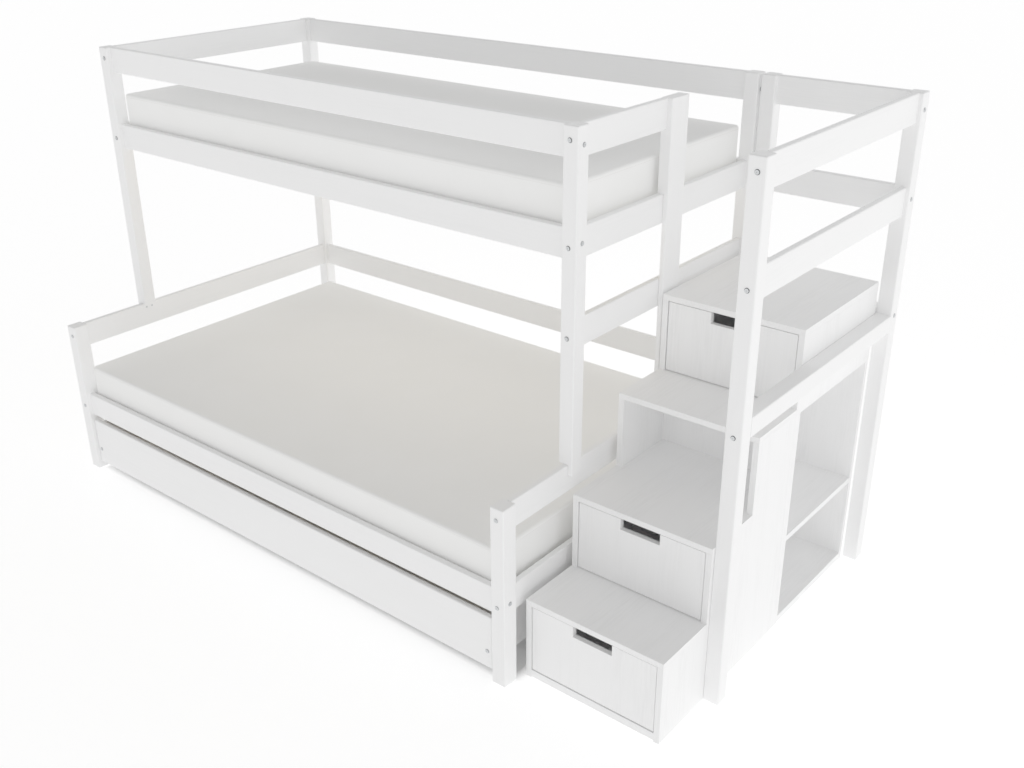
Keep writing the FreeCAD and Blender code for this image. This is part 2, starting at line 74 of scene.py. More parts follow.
def linear(code: str) -> Colour:
    """Turns an sRGB hex colour into linear light.

    Args:
        code: six hex digits after a hash sign.

    Returns:
        Red, green, blue and full alpha.
    """
    parts = [int(code[start:start + 2], 16) / 255.0 for start in (1, 3, 5)]
    red, green, blue = (
        part / 12.92 if part <= 0.04045 else ((part + 0.055) / 1.055) ** 2.4 for part in parts
    )
    return (red, green, blue, 1.0)


def add_node(
    tree: bpy.types.NodeTree,
    kind: str,
    settings: dict[str, Any] | None = None,
    inputs: dict[str | int, Any] | None = None,
) -> bpy.types.Node:
    """Adds one node with its settings, values and links.

    Args:
        tree: shader or geometry tree that gets the node.
        kind: Blender's type name of the node.
        settings: attributes of the node itself.
        inputs: by socket name or number, a value, or an output socket to link from.

    Returns:
        The new node.
    """
    node = tree.nodes.new(kind)
    for key, value in (settings or {}).items():
        setattr(node, key, value)
    for key, value in (inputs or {}).items():
        if isinstance(value, bpy.types.NodeSocket):
            tree.links.new(value, node.inputs[key])
        else:
            node.inputs[key].default_value = value
    return node


def start_material(
    name: str,
) -> tuple[bpy.types.Material, bpy.types.NodeTree, bpy.types.NodeSocket]:
    """Starts an empty node material.

    Args:
        name: name of the material.

    Returns:
        The material, its node tree and the object's own coordinates.
    """
    material = bpy.data.materials.new(name)
    material.use_nodes = True
    tree = material.node_tree
    tree.nodes.clear()
    return material, tree, add_node(tree, "ShaderNodeTexCoord").outputs["Object"]


def end_material(tree: bpy.types.NodeTree, inputs: dict[str, Any]) -> None:
    """Ends a material with one surface.

    Args:
        tree: node tree of the material.
        inputs: values and links of the principled shader.
    """
    surface = add_node(tree, "ShaderNodeBsdfPrincipled", inputs=inputs)
    add_node(tree, "ShaderNodeOutputMaterial", inputs={0: surface.outputs[0]})


def calculate(tree: bpy.types.NodeTree, operation: str, *values: Any) -> bpy.types.NodeSocket:
    """Adds a math node for up to three values or links and returns its result."""
    return add_node(tree, "ShaderNodeMath", {"operation": operation},
                    dict(enumerate(values))).outputs[0]


def remap(tree: bpy.types.NodeTree, value: bpy.types.NodeSocket, source: Span = (0.0, 1.0),
          target: Span = (0.0, 1.0)) -> bpy.types.NodeSocket:
    """Maps a value from one range to another, held at both ends, and returns the result."""
    return add_node(tree, "ShaderNodeMapRange", inputs={
        "Value": value, "From Min": source[0], "From Max": source[1],
        "To Min": target[0], "To Max": target[1]}).outputs[0]


def blend(tree: bpy.types.NodeTree, factor: bpy.types.NodeSocket, first: str,
          second: str) -> bpy.types.NodeSocket:
    """Goes from a first hex colour at factor 0 to a second one at factor 1."""
    return add_node(tree, "ShaderNodeMix", {"data_type": "RGBA"}, {
        "Factor": factor, "A": linear(first), "B": linear(second)}).outputs["Result"]


def mesh_object(name: str, mesh: bpy.types.Mesh) -> bpy.types.Object:
    """Puts a mesh in the scene as an object at the origin."""
    item = bpy.data.objects.new(name, mesh)
    bpy.context.scene.collection.objects.link(item)
    return item


def evaluated_copy(item: bpy.types.Object) -> bpy.types.Mesh:
    """Returns the mesh of an object with all of its modifiers applied."""
    graph = bpy.context.evaluated_depsgraph_get()
    graph.update()
    return bpy.data.meshes.new_from_object(item.evaluated_get(graph))


def settle(item: bpy.types.Object) -> None:
    """Replaces an object's mesh by its evaluated one and drops its modifiers."""
    mesh = evaluated_copy(item)
    item.modifiers.clear()
    item.data = mesh


def smooth(mesh: bpy.types.Mesh) -> None:
    """Shades every face of a mesh smooth."""
    mesh.polygons.foreach_set("use_smooth", [True] * len(mesh.polygons))


def report(part: str, pieces: Iterable[bpy.types.Object]) -> None:
    """Logs each finished piece of a sub-assembly."""
    for piece in pieces:
        log.info("%s: %s, %d faces", part, piece.name, len(piece.data.polygons))


# ---------------------------------------------------------------------------- finishes


@dataclass(frozen=True)
class PaintedWood:
    """Water-based satin paint sprayed over sanded wood; the grain still reads through it."""

    name: str
    grain: Axis
    valley: str
    pitch_mm: float
    stretch: float
    paint: str = "#fafafa"
    roughness: float = 0.46
    gloss_change: float = 0.05
    depth_mm: float = 0.08
    streak_range: Span = (0.38, 0.60)
    # Growth bands are some centimetres wide and make groups of streaks come and go.
    bands_across: float = 14.0
    bands_along: float = 1.3
    band_range: Span = (0.42, 0.66)
    band_share: Span = (0.10, 1.0)

    def material(self) -> bpy.types.Material:
        """Builds the paint: long fine streaks along the grain, in colour and in height."""
        material, tree, place = start_material(self.name)
        across = 1.0 / (self.pitch_mm * MM)
        scale = [across, across, across]
        scale[self.grain.value] = across / self.stretch
        stretched = add_node(tree, "ShaderNodeMapping", inputs={"Vector": place, "Scale": scale})
        streaks = add_node(tree, "ShaderNodeTexNoise", inputs={
            "Vector": stretched.outputs[0], "Scale": 1.0, "Detail": 3.0, "Roughness": 0.55,
            "Distortion": 0.35})
        wide_scale = [self.bands_across] * 3
        wide_scale[self.grain.value] = self.bands_along
        wide = add_node(tree, "ShaderNodeMapping", inputs={"Vector": place, "Scale": wide_scale})
        bands = add_node(tree, "ShaderNodeTexNoise", inputs={
            "Vector": wide.outputs[0], "Scale": 1.0, "Detail": 2.0, "Roughness": 0.5})
        presence = remap(tree, bands.outputs[0], self.band_range, self.band_share)
        lines = remap(tree, streaks.outputs[0], self.streak_range, (1.0, 0.0))
        shown = calculate(tree, "MULTIPLY", lines, presence)
        colour = blend(tree, shown, self.paint, self.valley)
        height = calculate(tree, "SUBTRACT", 1.0, shown)
        bump = add_node(tree, "ShaderNodeBump", inputs={
            "Strength": 0.3, "Distance": self.depth_mm * MM, "Height": height})
        gloss = remap(tree, bands.outputs[0], target=(
            self.roughness - self.gloss_change, self.roughness + self.gloss_change))
        end_material(tree, {
            "Base Color": colour, "Roughness": gloss, "IOR": 1.5, "Normal": bump.outputs[0]})
        return material


@dataclass(frozen=True)
class BarePine:
    """Planed pine without a finish: pale straw early wood and browner late wood lines."""

    name: str
    grain: Axis
    early: str = "#f0e9dc"
    late: str = "#e0d2b8"
    ring_mm: float = 4.0
    stretch: float = 30.0
    lean: Point = (0.05, 0.04, 0.03)
    late_range: Span = (0.40, 0.64)

    def material(self) -> bpy.types.Material:
        """Builds growth rings cut lengthwise, stretched along the grain and slightly wavy."""
        material, tree, place = start_material(self.name)
        across = 1.0 / (self.ring_mm * MM)
        scale = [across, across, across]
        scale[self.grain.value] = across / self.stretch
        stretched = add_node(tree, "ShaderNodeMapping", inputs={
            "Vector": place, "Scale": scale, "Rotation": self.lean})
        rings = add_node(tree, "ShaderNodeTexNoise", inputs={
            "Vector": stretched.outputs[0], "Scale": 0.45, "Detail": 4.0, "Roughness": 0.6,
            "Distortion": 0.8})
        tone = remap(tree, rings.outputs[0], self.late_range)
        colour = blend(tree, tone, self.early, self.late)
        bump = add_node(tree, "ShaderNodeBump", inputs={
            "Strength": 0.4, "Distance": 0.1 * MM, "Height": tone})
        end_material(tree, {
            "Base Color": colour, "Roughness": 0.62, "IOR": 1.45, "Normal": bump.outputs[0]})
        return material


@dataclass(frozen=True)
class WovenCover:
    """Cotton and polyester ticking: a plain weave that is matt and slightly warm in tone."""

    name: str = "woven_cotton_cover"
    thread: str = "#fdfdfc"
    hollow: str = "#f9f9f7"
    # Real threads are about 0.4 mm apart; they are drawn 3 mm apart so that they can show.
    thread_mm: float = 3.0
    weave_share: float = 0.25
    patches: float = 5.0
    tone_range: Span = (0.3, 1.1)

    def material(self) -> bpy.types.Material:
        """Builds the weave from two crossing waves, with soft patches in the tone."""
        material, tree, place = start_material(self.name)
        # One wave of the texture is 1/20 of a unit at scale 1, times pi.
        scale = math.pi / 10.0 / (self.thread_mm * MM)
        waves = [
            add_node(tree, "ShaderNodeTexWave", {"bands_direction": direction}, {
                "Vector": place, "Scale": scale, "Distortion": 0.4,
                "Detail": 1.0, "Detail Scale": 0.6}).outputs["Fac"]
            for direction in ("X", "Y", "Z")
        ]
        crossed = calculate(tree, "MULTIPLY", waves[0], waves[1])
        woven = calculate(tree, "ADD", crossed, waves[2])
        patches = add_node(tree, "ShaderNodeTexNoise", inputs={
            "Vector": place, "Scale": self.patches, "Detail": 3.0})
        mixed = calculate(tree, "MULTIPLY_ADD", woven, self.weave_share, patches.outputs[0])
        tone = remap(tree, mixed, self.tone_range)
        colour = blend(tree, tone, self.hollow, self.thread)
        bump = add_node(tree, "ShaderNodeBump", inputs={
            "Strength": 0.35, "Distance": 0.25 * MM, "Height": woven})
        end_material(tree, {
            "Base Color": colour, "Roughness": 0.92, "IOR": 1.45, "Sheen Weight": 0.12,
            "Sheen Roughness": 0.6, "Normal": bump.outputs[0]})
        return material


@dataclass(frozen=True)
class Metal:
    """Zinc-plated steel: a grey metal with a fine cloudy haze left by the bath. Its darkest copy,
    on the washers of the tall posts, is painted shade.
    """

    name: str
    bright: str = "#e2e4e5"
    dull: str = "#c6c9cb"
    roughness: float = 0.42
    gloss_change: Span = (-0.08, 0.10)
    haze_mm: float = 3.0

    def material(self) -> bpy.types.Material:
        """Builds the steel with clouds some millimetres wide in tone and in gloss."""
        material, tree, place = start_material(self.name)
        haze = add_node(tree, "ShaderNodeTexNoise", inputs={
            "Vector": place, "Scale": 1.0 / (self.haze_mm * MM), "Detail": 3.0})
        colour = blend(tree, haze.outputs[0], self.dull, self.bright)
        gloss = remap(tree, haze.outputs[0], target=(
            self.roughness + self.gloss_change[0], self.roughness + self.gloss_change[1]))
        end_material(tree, {"Base Color": colour, "Roughness": gloss, "Metallic": 1.0})
        return material


@dataclass(frozen=True)
class Moulded:
    """Plain matt material with a fine mould or fibre texture, such as nylon or webbing."""

    name: str
    light: str
    dark: str
    roughness: float
    grit_mm: float

    def material(self) -> bpy.types.Material:
        """Builds a fine speckle in tone and height."""
        material, tree, place = start_material(self.name)
        grit = add_node(tree, "ShaderNodeTexNoise", inputs={
            "Vector": place, "Scale": 1.0 / (self.grit_mm * MM), "Detail": 4.0})
        colour = blend(tree, grit.outputs[0], self.dark, self.light)
        bump = add_node(tree, "ShaderNodeBump", inputs={
            "Strength": 0.3, "Distance": 0.08 * MM, "Height": grit.outputs[0]})
        end_material(tree, {
            "Base Color": colour, "Roughness": self.roughness, "IOR": 1.5,
            "Normal": bump.outputs[0]})
        return material


class Palette:
    """Every finish of the bed, made once."""

    def __init__(self) -> None:
        """Builds the materials."""
        self.rail = {
            axis: PaintedWood(f"satin_white_paint_on_pine_{axis.name.lower()}", axis,
                              pitch_mm=4.0, stretch=30.0, valley="#f7f7f7").material()
            for axis in Axis
        }
        self.board = {
            axis: PaintedWood(f"satin_white_paint_on_grained_board_{axis.name.lower()}", axis,
                              pitch_mm=6.0, stretch=16.0, valley="#f4f4f4",
                              depth_mm=0.12).material()
            for axis in Axis
        }
        self.slat = BarePine("planed_bare_pine_y", Axis.Y).material()
        self.cleat = BarePine("planed_bare_pine_x", Axis.X).material()
        self.cover = WovenCover().material()
        self.thread = Moulded("polyester_thread", "#efeeea", "#dcdbd6", 0.7, 0.5).material()
        self.steel = Metal("bright_zinc_plated_steel").material()
        # Painted shade: these dark washers stand for the shadow round the bolt heads on the fronts
        # and backs of the tall posts.
        self.shade_washer = Metal("oiled_black_steel", "#5e6062", "#48494b", 0.5).material()
        self.pale_washer = Metal("dull_zinc_plated_steel", "#c4c6c8", "#b2b4b6", 0.5).material()
        self.nylon = Moulded("moulded_black_nylon", "#2e2e30", "#232325", 0.5, 1.5).material()
        self.webbing = Moulded("woven_polypropylene_tape", "#e8e6e0", "#cfccc4", 0.8,
                               1.0).material()


def dress(nodes: Iterable[str], material: bpy.types.Material) -> list[bpy.types.Object]:
    """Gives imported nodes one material.

    Args:
        nodes: names of the nodes.
        material: the material they all get.

    Returns:
        The nodes' objects.
    """
    dressed = []
    for name in nodes:
        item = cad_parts[name]
        item.data.materials.clear()
        item.data.materials.append(material)
        dressed.append(item)
    return dressed


# ---------------------------------------------------------------------------- repeated parts


@dataclass
class Scatter:
    """Small parts that repeat at known places, made by a geometry node tree."""

    name: str
    material: bpy.types.Material
    ring_corners: int = 28
    wire_corners: int = 6
    thread_corners: int = 5

    def _start(self, sizes: dict[str, float]) -> tuple[bpy.types.NodeTree, bpy.types.Node]:
        """Starts a tree with named size inputs and returns it with its input node."""
        tree = bpy.data.node_groups.new(self.name, "GeometryNodeTree")
        tree.interface.new_socket("Geometry", in_out="INPUT", socket_type="NodeSocketGeometry")
        for label, value in sizes.items():
            socket = tree.interface.new_socket(label, in_out="INPUT",
                                               socket_type="NodeSocketFloat")
            socket.default_value = value
        tree.interface.new_socket("Geometry", in_out="OUTPUT", socket_type="NodeSocketGeometry")
        return tree, add_node(tree, "NodeGroupInput")

    def _close(self, tree: bpy.types.NodeTree, instances: bpy.types.NodeSocket) -> None:
        """Ends a tree: real geometry with the part's material."""
        real = add_node(tree, "GeometryNodeRealizeInstances", inputs={"Geometry": instances})
        painted = add_node(tree, "GeometryNodeSetMaterial", inputs={
            "Geometry": real.outputs[0], "Material": self.material})
        add_node(tree, "NodeGroupOutput", inputs={0: painted.outputs[0]})

    def _run(self, points: bpy.types.Object, tree: bpy.types.NodeTree,
             sizes: dict[str, float]) -> bpy.types.Object:
        """Runs the tree on an object, sets its inputs by identifier and keeps the result."""
        modifier = points.modifiers.new(self.name, "NODES")
        modifier.node_group = tree
        for socket in tree.interface.items_tree:
            if socket.in_out == "INPUT" and socket.name in sizes:
                modifier[socket.identifier] = sizes[socket.name]
        settle(points)
        points.data.name = self.name
        return points

    def _points(self, places: Sequence[tuple[Vector, Vector]]) -> bpy.types.Object:
        """Makes a mesh of loose points with a facing direction on each."""
        mesh = bpy.data.meshes.new(self.name)
        mesh.from_pydata([tuple(point) for point, _ in places], [], [])
        facing = mesh.attributes.new("facing", "FLOAT_VECTOR", "POINT")
        for index, (_, direction) in enumerate(places):
            facing.data[index].vector = direction
        return mesh_object(self.name, mesh)

    def rings(self, places: Sequence[tuple[Vector, Vector]], outer: float, inner: float,
              thick: float) -> bpy.types.Object:
        """Flat rings, such as washers, each square to its own direction.

        Args:
            places: centre of each ring's back face and the direction it faces.
            outer: outer radius.
            inner: radius of the hole.
            thick: thickness.

        Returns:
            One object with all rings.
        """
        sizes = {"Outer radius": outer, "Inner radius": inner, "Thickness": thick}
        tree, group = self._start(sizes)
        radii = (group.outputs["Outer radius"], group.outputs["Inner radius"])
        middle = calculate(tree, "MULTIPLY", calculate(tree, "ADD", *radii), 0.5)
        circle = add_node(tree, "GeometryNodeCurvePrimitiveCircle", inputs={
            "Resolution": self.ring_corners, "Radius": middle})
        section = add_node(tree, "GeometryNodeCurvePrimitiveQuadrilateral", inputs={
            "Width": calculate(tree, "SUBTRACT", *radii), "Height": group.outputs["Thickness"]})
        ring = add_node(tree, "GeometryNodeCurveToMesh", inputs={
            "Curve": circle.outputs[0], "Profile Curve": section.outputs[0]})
        lift = add_node(tree, "ShaderNodeCombineXYZ", inputs={
            "Z": calculate(tree, "MULTIPLY", group.outputs["Thickness"], 0.5)})
        lifted = add_node(tree, "GeometryNodeTransform", inputs={
            "Geometry": ring.outputs[0], "Translation": lift.outputs[0]})
        self._place(tree, group.outputs["Geometry"], self._facing(tree), lifted.outputs[0])
        return self._run(self._points(places), tree, sizes)

    def _facing(self, tree: bpy.types.NodeTree) -> bpy.types.NodeSocket:
        """Reads the facing direction that is kept on each point."""
        facing = add_node(tree, "GeometryNodeInputNamedAttribute",
                          {"data_type": "FLOAT_VECTOR"}, {"Name": "facing"})
        return facing.outputs[0]

    def _place(self, tree: bpy.types.NodeTree, points: bpy.types.NodeSocket,
               direction: bpy.types.NodeSocket, shape: bpy.types.NodeSocket) -> None:
        """Puts a shape on every point with its Z axis along a direction, and ends the tree."""
        turned = add_node(tree, "FunctionNodeAlignRotationToVector", {"axis": "Z"}, {
            "Vector": direction})
        placed = add_node(tree, "GeometryNodeInstanceOnPoints", inputs={
            "Points": points, "Instance": shape, "Rotation": turned.outputs[0]})
        self._close(tree, placed.outputs[0])

    def _bar(self, tree: bpy.types.NodeTree, length: bpy.types.NodeSocket,
             radius: bpy.types.NodeSocket, corners: int) -> bpy.types.NodeSocket:
        """Makes one round bar along Z with its middle at the origin."""
        ends = []
        for share in (-0.5, 0.5):
            ends.append(add_node(tree, "ShaderNodeCombineXYZ", inputs={
                "Z": calculate(tree, "MULTIPLY", length, share)}).outputs[0])
        line = add_node(tree, "GeometryNodeCurvePrimitiveLine", inputs={
            "Start": ends[0], "End": ends[1]})
        section = add_node(tree, "GeometryNodeCurvePrimitiveCircle", inputs={
            "Resolution": corners, "Radius": radius})
        bar = add_node(tree, "GeometryNodeCurveToMesh", inputs={
            "Curve": line.outputs[0], "Profile Curve": section.outputs[0], "Fill Caps": True})
        return bar.outputs[0]

    def bars(self, places: Sequence[tuple[Vector, Vector]], length: float,
             radius: float) -> bpy.types.Object:
        """Short round bars, such as the crowns of staples, each along its own direction.

        Args:
            places: middle of each bar and its direction.
            length: length of a bar.
            radius: radius of its wire.

        Returns:
            One object with all bars.
        """
        sizes = {"Length": length, "Wire radius": radius}
        tree, group = self._start(sizes)
        bar = self._bar(tree, group.outputs["Length"], group.outputs["Wire radius"],
                        self.wire_corners)
        self._place(tree, group.outputs["Geometry"], self._facing(tree), bar)
        return self._run(self._points(places), tree, sizes)

    def stitches(self, path: Sequence[Point], cloth: bpy.types.Object, pitch: float,
                 length: float, radius: float) -> bpy.types.Object:
        """A closed line of stitches that lies on the nearest surface of a cloth.

        Args:
            path: points of the closed line.
            cloth: finished piece that the stitches lie on.
            pitch: distance from one stitch to the next.
            length: visible length of a stitch.
            radius: radius of the thread.

        Returns:
            One object with all stitches.
        """
        sizes = {"Pitch": pitch, "Stitch length": length, "Thread radius": radius}
        tree, group = self._start(sizes)
        count = len(path)
        mesh = bpy.data.meshes.new(self.name)
        mesh.from_pydata(path, [(index, (index + 1) % count) for index in range(count)], [])
        line = mesh_object(self.name, mesh)
        curve = add_node(tree, "GeometryNodeMeshToCurve", inputs={
            "Mesh": group.outputs["Geometry"]})
        spaced = add_node(tree, "GeometryNodeResampleCurve", {"mode": "LENGTH"}, {
            "Curve": curve.outputs[0], "Length": group.outputs["Pitch"]})
        cover = add_node(tree, "GeometryNodeObjectInfo", {"transform_space": "RELATIVE"}, {
            "Object": cloth})
        near = add_node(tree, "GeometryNodeProximity", {"target_element": "FACES"}, {
            0: cover.outputs["Geometry"]})
        laid = add_node(tree, "GeometryNodeSetPosition", inputs={
            "Geometry": spaced.outputs[0], "Position": near.outputs["Position"]})
        thread = self._bar(tree, group.outputs["Stitch length"], group.outputs["Thread radius"],
                           self.thread_corners)
        along = add_node(tree, "GeometryNodeInputTangent")
        self._place(tree, laid.outputs[0], along.outputs[0], thread)
        return self._run(line, tree, sizes)


@dataclass
class BoltWashers:
    """Thin washers round the bolt heads.

    Their dark colour on the fronts and backs of the tall posts is painted shade round the heads;
    everywhere else they are pale.
    """

    name: str
    node: str
    body: str
    head_radius: float = 5.5 * MM
    head_height: float = 2.5 * MM
    ring: float = 1.5 * MM
    thick: float = 0.6 * MM
    head_share: float = 0.9  # of the head's radius: nothing else of a bolt is that wide
    shortest_bolt: float = 59.5 * MM
    # Washers facing front or back above this height are darkened as painted shade.
    shaded_above: float = 650.0 * MM

    def places(self) -> list[tuple[Vector, Vector]]:
        """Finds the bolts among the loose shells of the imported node.

        Returns:
            The point under each bolt head and the direction in which the head faces.
        """
        work = bmesh.new()
        work.from_mesh(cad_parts[self.node].data)
        bmesh.ops.remove_doubles(work, verts=work.verts, dist=0.01 * MM)
        found = []
        left = set(work.verts)
        while left:
            shell, edge = set(), {next(iter(left))}
            while edge:
                shell |= edge
                edge = {link.other_vert(vert) for vert in edge for link in vert.link_edges}
                edge -= shell
            left -= shell
            place = self._head([vert.co.copy() for vert in shell])
            if place:
                found.append(place)
        work.free()
        return sorted(found, key=lambda place: tuple(round(value, 5) for value in place[0]))

    def _head(self, points: list[Vector]) -> tuple[Vector, Vector] | None:
        """Returns the place under the head if the points are a bolt."""
        low = Vector([min(point[axis] for point in points) for axis in range(3)])
        high = Vector([max(point[axis] for point in points) for axis in range(3)])
        size = high - low
        axis = max(range(3), key=lambda number: size[number])
        if size[axis] < self.shortest_bolt:
            return None
        centre = (low + high) / 2.0
        wide = []
        for point in points:
            across = point - centre
            across[axis] = 0.0
            if across.length > self.head_radius * self.head_share:
                wide.append(point[axis])
        way = 1.0 if sum(wide) / len(wide) > centre[axis] else -1.0
        direction = Vector()
        direction[axis] = way
        end = high[axis] if way > 0 else low[axis]
        centre[axis] = end - way * self.head_height
        return centre, direction

    def _is_shaded(self, place: tuple[Vector, Vector]) -> bool:
        """Returns whether the washer at this place is a dark one, whose colour is painted shade.
        """
        point, direction = place
        return direction.y != 0.0 and point.z > self.shaded_above

    def build(self, palette: Palette) -> list[bpy.types.Object]:
        """Makes the dark washers of the node, whose colour is painted shade, as one piece and the
        pale ones as another.
        """
        pieces = []
        places = self.places()
        for label, dark, finish in (("dark", True, palette.shade_washer),
                                    ("pale", False, palette.pale_washer)):
            chosen = [place for place in places if self._is_shaded(place) == dark]
            if not chosen:
                continue
            washers = Scatter(f"{self.name}_{label}", finish).rings(
                chosen, self.head_radius + self.ring, self.head_radius, self.thick)
            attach(washers, self.body)
            pieces.append(washers)
        return pieces


# ---------------------------------------------------------------------------- woodwork


@dataclass
class BedFrame:
    """Posts and boards of the bed and of the stairs' frame, with their bolts."""

    body: str = "frame"
    posts: tuple[str, ...] = (
        "lower_post_left", "lower_post_right", "upper_post_left", "upper_post_right",
        "back_post_left", "back_post_right", "entry_post",
        "stair_post_front", "stair_post_back_right", "stair_post_back_left",
    )
    boards_x: tuple[str, ...] = (
        "lower_rail_front", "lower_rail_back", "lower_guard_back", "upper_rail_front",
        "upper_rail_back", "guard_front", "guard_back", "stair_handrails_back", "stair_bar_back",
    )
    boards_y: tuple[str, ...] = (
        "lower_rail_left", "lower_rail_right", "lower_guard_left", "lower_guard_right",
        "upper_rail_left", "upper_rail_right", "guard_left", "guard_right",
        "middle_rail_right", "stair_handrails_right", "stair_bar_right",
    )

    def dress(self, palette: Palette) -> list[bpy.types.Object]:
        """Paints the posts and boards with the grain along each of them."""
        return (
            dress(self.posts, palette.rail[Axis.Z])
            + dress(self.boards_x, palette.rail[Axis.X])
            + dress(self.boards_y, palette.rail[Axis.Y])
            + dress(["frame_bolts"], palette.steel)
        )

    def build(self, palette: Palette) -> list[bpy.types.Object]:
        """Makes the thin washers round the bolt heads."""
        return BoltWashers("bolt_washers", "frame_bolts", self.body).build(palette)


@dataclass
class SlatBase:
    """Slats and cleats of one bunk, with the tape and staples that hold the slats together."""

    name: str
    node: str
    body: str = "frame"
    tape_width: float = 22.0 * MM
    tape_thick: float = 0.9 * MM
    tape_edge: float = 0.3 * MM
    tape_short: float = 4.0 * MM
    inset: float = 0.22
    count: int = 14
    slat_width: float = 70.0 * MM
    staple_length: float = 10.0 * MM
    staple_radius: float = 0.6 * MM

    def build(self, palette: Palette) -> list[bpy.types.Object]:
        """Makes two tapes under the slats and two staples through each crossing."""
        low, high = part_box(self.node)
        depth = high.y - low.y
        rows = [low.y + depth * self.inset, high.y - depth * self.inset]
        mesh = bpy.data.meshes.new(self.name + "_tape")
        work = bmesh.new()
        for row in rows:
            size = Matrix.Diagonal((high.x - low.x - self.tape_short, self.tape_width,
                                    self.tape_thick, 1.0))
            middle = Vector(((low.x + high.x) / 2.0, row, low.z - self.tape_thick / 2.0))
            bmesh.ops.create_cube(work, size=1.0, matrix=Matrix.Translation(middle) @ size)
        # Only the long edges are rounded: those whose ends differ in X.
        sharp = [edge for edge in work.edges
                 if abs(edge.verts[0].co.x - edge.verts[1].co.x) > self.tape_width]
        bmesh.ops.bevel(work, geom=sharp, offset=self.tape_edge, segments=2, affect="EDGES")
        work.to_mesh(mesh)
        work.free()
        tape = mesh_object(self.name + "_tape", mesh)
        tape.data.materials.append(palette.webbing)
        pitch = (high.x - low.x - self.slat_width) / (self.count - 1)
        places = []
        for index in range(self.count):
            middle_x = low.x + self.slat_width / 2.0 + pitch * index
            for row in rows:
                for side in (-1.0, 1.0):
                    place = Vector((middle_x + side * self.slat_width / 4.0, row,
                                    low.z - self.tape_thick - self.staple_radius / 2.0))
                    places.append((place, Vector((0.0, 1.0, 0.0))))
        staples = Scatter(self.name + "_staples", palette.steel).bars(
            places, self.staple_length, self.staple_radius)
        for piece, slot in ((tape, "mattress_cover"), (staples, "zinc_steel")):
            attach(piece, self.body)
        return [tape, staples]


